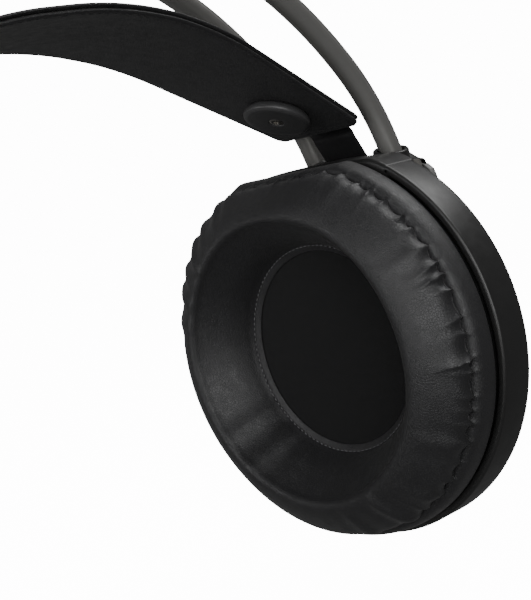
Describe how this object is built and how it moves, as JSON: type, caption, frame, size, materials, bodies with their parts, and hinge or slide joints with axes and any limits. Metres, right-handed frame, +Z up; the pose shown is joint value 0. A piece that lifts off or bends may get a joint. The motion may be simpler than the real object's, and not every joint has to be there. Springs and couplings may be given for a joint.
{
  "type": "over-ear headset",
  "caption": "Over-ear office headset: tube bow, suspended leatherette strap, round padded ear cups and a boom microphone.",
  "frame": {"origin": "underside of the strap at its crown, in the middle plane", "axes": "+X to the wearer's right, +Y forward, +Z up"},
  "size_m": [0.2309, 0.151, 0.1807],
  "materials": {
    "black_plastic": "satin black",
    "cloth": "black twill",
    "disc_plastic": "satin dark grey",
    "film": "pale film",
    "foam": "open-cell foam",
    "grey_plastic": "satin light grey",
    "gunmetal": "satin gunmetal grey",
    "leatherette": "black leatherette",
    "steel": "bright steel"
  },
  "bodies": {
    "headband": {"left_clamp_washer": "steel", "left_disc_screw": "steel", "left_strap_disc": "disc_plastic", "left_strip": "black_plastic", "right_clamp_washer": "steel", "right_disc_screw": "steel", "right_strap_disc": "disc_plastic", "right_strip": "black_plastic", "strap_lower_layer": "leatherette", "strap_upper_layer": "leatherette"},
    "bow": {"front_tube": "gunmetal", "left_tilt_pin_front": "steel", "left_tilt_pin_rear": "steel", "rear_tube": "gunmetal", "right_tilt_pin_front": "steel", "right_tilt_pin_rear": "steel"},
    "right_cup": {"right_accent_plate": "grey_plastic", "right_accent_screw_front": "steel", "right_accent_screw_rear": "steel", "right_back_shell": "black_plastic", "right_baffle": "black_plastic", "right_baffle_screw_1": "steel", "right_baffle_screw_2": "steel", "right_baffle_screw_3": "steel", "right_bridge": "black_plastic", "right_cushion": "leatherette", "right_cushion_plate": "black_plastic", "right_diaphragm": "film", "right_driver_frame": "black_plastic", "right_housing_ring": "black_plastic", "right_magnet": "steel", "right_outer_cap": "black_plastic", "right_scrim": "cloth"},
    "left_cup": {"cable_socket": "black_plastic", "left_accent_plate": "grey_plastic", "left_accent_screw_front": "steel", "left_accent_screw_rear": "steel", "left_back_shell": "black_plastic", "left_baffle": "black_plastic", "left_baffle_screw_1": "steel", "left_baffle_screw_2": "steel", "left_baffle_screw_3": "steel", "left_bridge": "black_plastic", "left_cushion": "leatherette", "left_cushion_plate": "black_plastic", "left_diaphragm": "film", "left_driver_frame": "black_plastic", "left_housing_ring": "black_plastic", "left_magnet": "steel", "left_outer_cap": "black_plastic", "left_scrim": "cloth"},
    "mic": {"mic_boom": "black_plastic", "mic_capsule": "black_plastic", "mic_hub": "black_plastic", "mic_windscreen": "foam"}
  },
  "joints": [
    {"name": "headband_slide", "type": "slide", "parent": "headband", "child": "bow", "axis": [0, 0, -1], "range_m": [0, 0.005], "stiffness_N_per_m": 900, "springref_m": -0.006},
    {"name": "right_cup_tilt", "type": "hinge", "parent": "bow", "child": "right_cup", "pos_m": [0.10233, 0, -0.04782], "axis": [0, 1, 0], "range_deg": [-5, 5]},
    {"name": "left_cup_tilt", "type": "hinge", "parent": "bow", "child": "left_cup", "pos_m": [-0.10233, 0, -0.04782], "axis": [0, 1, 0], "range_deg": [-5, 5]},
    {"name": "mic_swing", "type": "hinge", "parent": "left_cup", "child": "mic", "pos_m": [-0.113, 0, -0.08982], "axis": [1, 0, 0], "range_deg": [-20, 110]}
  ]
}
